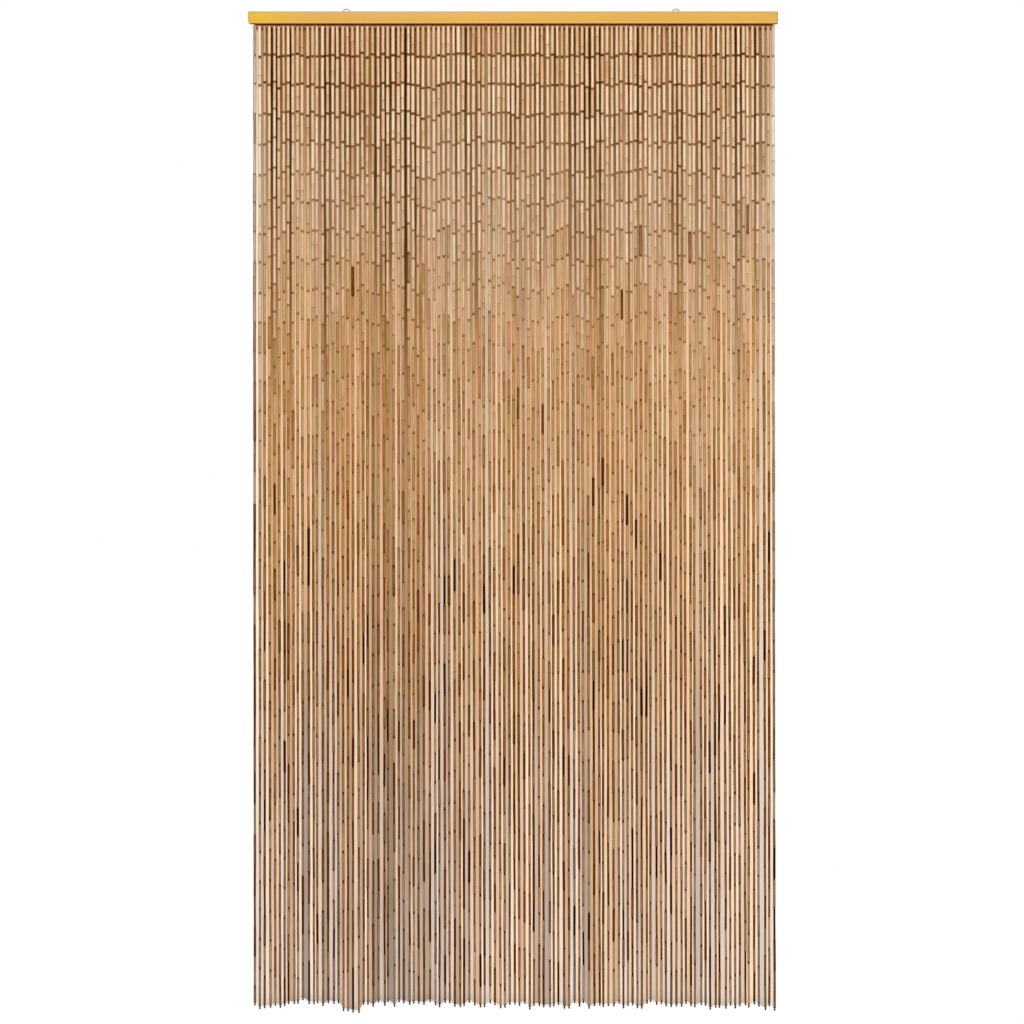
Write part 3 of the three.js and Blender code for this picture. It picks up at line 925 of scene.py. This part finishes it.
# The outermost gaps' own pale colour, under the same painted shadow of the rail.
outer_colour = add(tree, "ShaderNodeValToRGB", {"Fac": down.outputs["Fac"]}, stops=[
    (0.0, "#5c3305"), (0.004, "#5c3305"), (0.006, "#ead2ae"), (0.06, "#eed8b8"), (0.12, "#f2dfc2"),
    (0.18, "#fcebd0"), (0.6, "#ffefd9"), (0.85, "#f3ddc9"), (1.0, "#e8d8ca")])
lightened = add(tree, "ShaderNodeMix", {
    "Factor": 1.0, MIX_A: down_colour.outputs["Color"], MIX_B: light_tint.outputs["Color"]},
    data_type="RGBA", blend_type="MULTIPLY")
tinted = add(tree, "ShaderNodeMix", {
    "Factor": 1.0, MIX_A: lightened.outputs[MIXED], MIX_B: cast_tint.outputs["Color"]},
    data_type="RGBA", blend_type="MULTIPLY")
outlined = add(tree, "ShaderNodeMix", {
    "Factor": outer.outputs["Fac"], MIX_A: tinted.outputs[MIXED],
    MIX_B: outer_colour.outputs["Color"]}, data_type="RGBA")
# The card glows with its painted colours rather than being lit.
card_glow = add(tree, "ShaderNodeEmission", {"Color": outlined.outputs[MIXED], "Strength": 1.0})
card_clear = add(tree, "ShaderNodeBsdfTransparent")
card_mix = add(tree, "ShaderNodeMixShader", {
    0: faded.outputs["Fac"], 1: card_glow.outputs[0], 2: card_clear.outputs[0]})
side_seen = add(tree, "ShaderNodeNewGeometry")
one_sided = add(tree, "ShaderNodeMixShader", {
    0: side_seen.outputs["Backfacing"], 1: card_mix.outputs[0], 2: card_clear.outputs[0]})
add(tree, "ShaderNodeOutputMaterial", {"Surface": one_sided.outputs[0]})

card_y = row_middle_y + CARD_BEHIND
dice = random.Random(STRAND_COUNT)
verts, faces = [], []
shades = {"down": [], "light": [], "cast": [], "outer": [], "faded": []}
for gap in range(STRAND_COUNT - 1):
    gap_light, gap_cast = dice.uniform(-1, 1), dice.random()
    for row in range(CARD_ROWS + 1):
        share = row / CARD_ROWS
        gap_light = min(max(gap_light + dice.gauss(0, LIGHT_STEP), -1.0), 1.0)
        gap_cast = clamped(gap_cast + dice.gauss(0, CAST_STEP))
        left_x, right_x = strand_middle(gap, share)[0], strand_middle(gap + 1, share)[0]
        wider = (right_x - left_x - USUAL_PITCH) / WIDE_GAP
        lighter = between(LIGHTER_ACROSS, left_x / MM) * clamped(share / LIGHTER_OVER)
        warmer = between(WARMER_ACROSS, left_x / MM) * clamped((share - WARMER_FROM) / WARMER_OVER)
        spread_here = between(LIGHT_SPREAD_DOWN, share) * gap_light
        light_here = between(LIGHT_DOWN, share) + spread_here + lighter
        cast_here = CAST_ROOM + gap_cast - WIDE_COOLER * share * wider + warmer
        for strand, x in ((gap, left_x), (gap + 1, right_x)):
            fade_top = strand_foot(strand) + CARD_FOOT_RISE + CARD_FADE
            height = rail_low.z + CARD_TOP_RISE
            if row > 0:
                height = rail_low.z - (rail_low.z - fade_top) * share
            verts.append((x, card_y, height))
            shades["down"].append((rail_low.z - height) / (rail_low.z - fade_top))
            shades["light"].append(light_here - WIDE_DARKER * share * wider)
            shades["cast"].append(cast_here / (1 + CAST_ROOM))
            shades["outer"].append(OUTER_GAPS.get(gap, 0.0))
            shades["faded"].append(0.0)
    # The last pair of points hangs CARD_FADE lower, and there the card has run out.
    for strand in (gap, gap + 1):
        verts.append((verts[-2][0], card_y, strand_foot(strand) + CARD_FOOT_RISE))
        for name, values in shades.items():
            values.append(1.0 if name in ("down", "faded") else values[-1])
    first = len(verts) - 2 * (CARD_ROWS + 2)
    for i in range(first, len(verts) - 2, 2):
        faces.append((i, i + 2, i + 3, i + 1))
card_mesh = bpy.data.meshes.new("shade_card")
card_mesh.from_pydata(verts, [], faces)
card_mesh.materials.append(glowing_card)
give_points(card_mesh, shades)
card = bpy.data.objects.new("shade_card", card_mesh)
bpy.context.scene.collection.objects.link(card)
card.visible_shadow = False
card.visible_diffuse = False
card.visible_glossy = False
